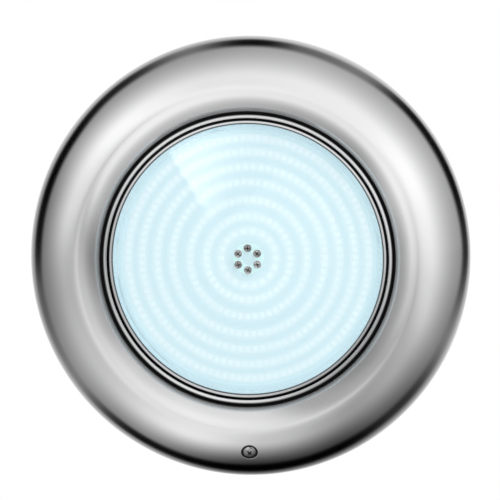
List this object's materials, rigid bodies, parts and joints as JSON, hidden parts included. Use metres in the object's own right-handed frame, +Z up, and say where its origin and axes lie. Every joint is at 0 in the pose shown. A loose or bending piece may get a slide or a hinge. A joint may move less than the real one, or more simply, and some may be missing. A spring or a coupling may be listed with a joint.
{
  "type": "underwater pool light",
  "caption": "Wall-hung round underwater pool light: domed polished steel face ring, flat window over rings of LEDs, white body, bracket and cable gland.",
  "frame": {"origin": "centre of the wall bracket's back face, on the wall, at the middle of its four screw holes", "axes": "+Z up the wall, light shines towards -Y, +Y into the wall, +X to the right when facing the light"},
  "size_m": [0.29, 0.05, 0.29],
  "materials": {
    "polished_steel": "mirror-polished stainless steel",
    "dark_steel": "unpolished stainless steel, shaded",
    "bracket_steel": "plain rolled stainless sheet",
    "screw_steel": "stainless fasteners",
    "nylon": "natural nylon",
    "brass": "turned brass",
    "white_body": "white moulded polycarbonate, UV-stable",
    "black_rubber": "moulded silicone rubber",
    "clear_cover": "clear polycarbonate with a pale cyan glow from the chips behind it",
    "aluminium": "bare aluminium",
    "grey_silicone": "soft thermal pad",
    "board_white": "white solder mask on an aluminium-core board",
    "spacer_white": "moulded white plastic",
    "led_chip": "surface-mounted LED package",
    "board_green": "green solder mask",
    "black_plastic": "epoxy chip package",
    "dark_ferrite": "shielded ferrite",
    "block_grey": "moulded terminal block",
    "lead_red": "PVC insulated lead",
    "nickel_brass": "nickel-plated brass"
  },
  "bodies": {
    "wall_bracket": {"wall_bracket": "bracket_steel", "threaded_bush": "brass"},
    "lamp_unit": {"face_ring": "polished_steel", "screw_ferrule": "dark_steel", "ring_straps": "bracket_steel", "strap_screws": "screw_steel", "hook_tab": "bracket_steel", "hook_screws": "screw_steel", "lamp_body": "white_body", "cover_seal": "black_rubber", "front_cover": "clear_cover", "lens_seal": "black_rubber", "lens_clamp_ring": "bracket_steel", "clamp_ring_screws": "screw_steel", "centre_screws": "screw_steel", "centre_screw_seals": "black_rubber", "heat_plate": "aluminium", "thermal_pad": "grey_silicone", "led_board": "board_white", "centre_spacer": "spacer_white", "led_ring_1": "led_chip", "led_ring_2": "led_chip", "led_ring_3": "led_chip", "led_ring_4": "led_chip", "led_ring_5": "led_chip", "led_ring_6": "led_chip", "led_ring_7": "led_chip", "driver_board": "board_green", "driver_screws": "screw_steel", "bridge_rectifier": "black_plastic", "inductor": "dark_ferrite", "driver_chip": "black_plastic", "terminal_block": "block_grey", "capacitors": "aluminium", "led_leads": "lead_red", "gland_body": "nickel_brass", "gland_o_ring": "black_rubber", "gland_lock_nut": "nickel_brass", "gland_seal": "black_rubber", "gland_nut": "nickel_brass"},
    "captive_washer": {"captive_washer": "nylon"},
    "lock_screw": {"lock_screw": "screw_steel"}
  },
  "joints": [
    {"name": "lamp_draw_off", "type": "slide", "parent": "wall_bracket", "child": "lamp_unit", "axis": [0, -0.8488, -0.5287], "range_m": [0, 0.06]},
    {"name": "lock_screw_travel", "type": "slide", "parent": "lamp_unit", "child": "captive_washer", "axis": [0, -0.8488, -0.5287], "range_m": [0, 0.008]},
    {"name": "lock_screw_turn", "type": "hinge", "parent": "captive_washer", "child": "lock_screw", "pos_m": [0, -0.00438, -0.10017], "axis": [0, -0.8488, -0.5287], "range_deg": [0, 3600]}
  ],
  "couplings": [
    {"joint": "lock_screw_turn", "follows": "lock_screw_travel", "rad_per_m": 7854}
  ]
}
